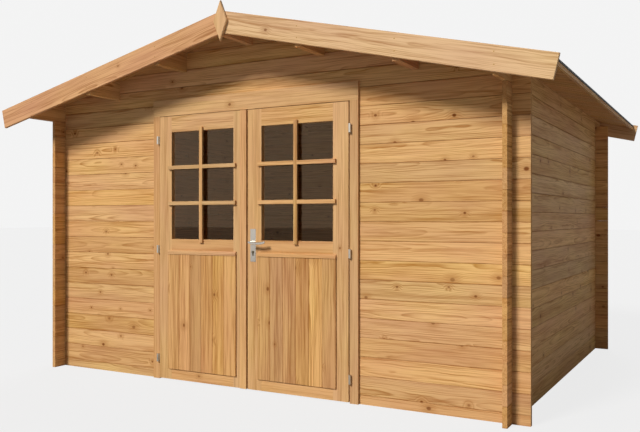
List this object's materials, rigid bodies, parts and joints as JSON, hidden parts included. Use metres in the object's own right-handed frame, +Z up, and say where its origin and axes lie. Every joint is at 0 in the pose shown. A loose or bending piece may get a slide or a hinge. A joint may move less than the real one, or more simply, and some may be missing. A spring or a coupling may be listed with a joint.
{
  "type": "wooden garden shed",
  "caption": "Log-cabin garden shed with crossed log corners, a low gable roof on purlins and a glazed double door that opens outwards.",
  "frame": {"origin": "on the ground, under the middle of the roof", "axes": "+Z up, -Y towards the door side, X along the front wall"},
  "size_m": [4.216, 3.476, 2.556],
  "materials": {
    "door_glass": "clear float glass",
    "door_wood": "stained softwood, satin",
    "floor_wood": "bare planed softwood",
    "frame_wood": "stained softwood, satin",
    "hinge_steel": "zinc-plated steel, satin",
    "lock_steel": "satin nickel-plated steel",
    "log_wood": "stained softwood logs, fine dark joint lines, satin",
    "roof_felt": "mineral bitumen felt, matt",
    "roof_wood": "stained softwood, planed",
    "trim_wood": "stained softwood boards, satin"
  },
  "bodies": {
    "shed": {"back_gable": "log_wood", "back_wall": "log_wood", "door_cap": "frame_wood", "door_head": "frame_wood", "door_sill": "frame_wood", "eave_strips": "trim_wood", "finials": "trim_wood", "floor_boards": "floor_wood", "floor_joists": "floor_wood", "front_gable": "log_wood", "front_wall_left": "log_wood", "front_wall_right": "log_wood", "hinge_pins": "hinge_steel", "left_barge_boards": "trim_wood", "left_door_jamb": "frame_wood", "left_roof_boards": "roof_wood", "left_roof_felt": "roof_felt", "left_wall": "log_wood", "ridge_purlin": "roof_wood", "right_barge_boards": "trim_wood", "right_door_jamb": "frame_wood", "right_roof_boards": "roof_wood", "right_roof_felt": "roof_felt", "right_wall": "log_wood", "side_purlins": "roof_wood", "wall_plates": "log_wood"},
    "left_door": {"left_door_bottom_rail": "door_wood", "left_door_cover_strip": "door_wood", "left_door_drip_strip": "door_wood", "left_door_glass": "door_glass", "left_door_hinge_stile": "door_wood", "left_door_hinges": "hinge_steel", "left_door_meeting_stile": "door_wood", "left_door_mid_rail": "door_wood", "left_door_panel": "door_wood", "left_door_top_rail": "door_wood"},
    "right_door": {"right_door_bottom_rail": "door_wood", "right_door_drip_strip": "door_wood", "right_door_glass": "door_glass", "right_door_hinge_stile": "door_wood", "right_door_hinges": "hinge_steel", "right_door_lock_plates": "lock_steel", "right_door_meeting_stile": "door_wood", "right_door_mid_rail": "door_wood", "right_door_panel": "door_wood", "right_door_top_rail": "door_wood"},
    "door_lever": {"door_lever": "lock_steel"}
  },
  "joints": [
    {"name": "left_door_hinge", "type": "hinge", "parent": "shed", "child": "left_door", "pos_m": [-0.778, -1.436, 0.939], "axis": [0, 0, -1], "range_deg": [0, 165]},
    {"name": "right_door_hinge", "type": "hinge", "parent": "shed", "child": "right_door", "pos_m": [0.778, -1.436, 0.939], "axis": [0, 0, 1], "range_deg": [0, 165]},
    {"name": "lever_hinge", "type": "hinge", "parent": "right_door", "child": "door_lever", "pos_m": [0.048, -1.408, 1], "axis": [0, 1, 0], "range_deg": [0, 40], "stiffness_Nm_per_rad": 1, "springref_deg": -34.38}
  ]
}
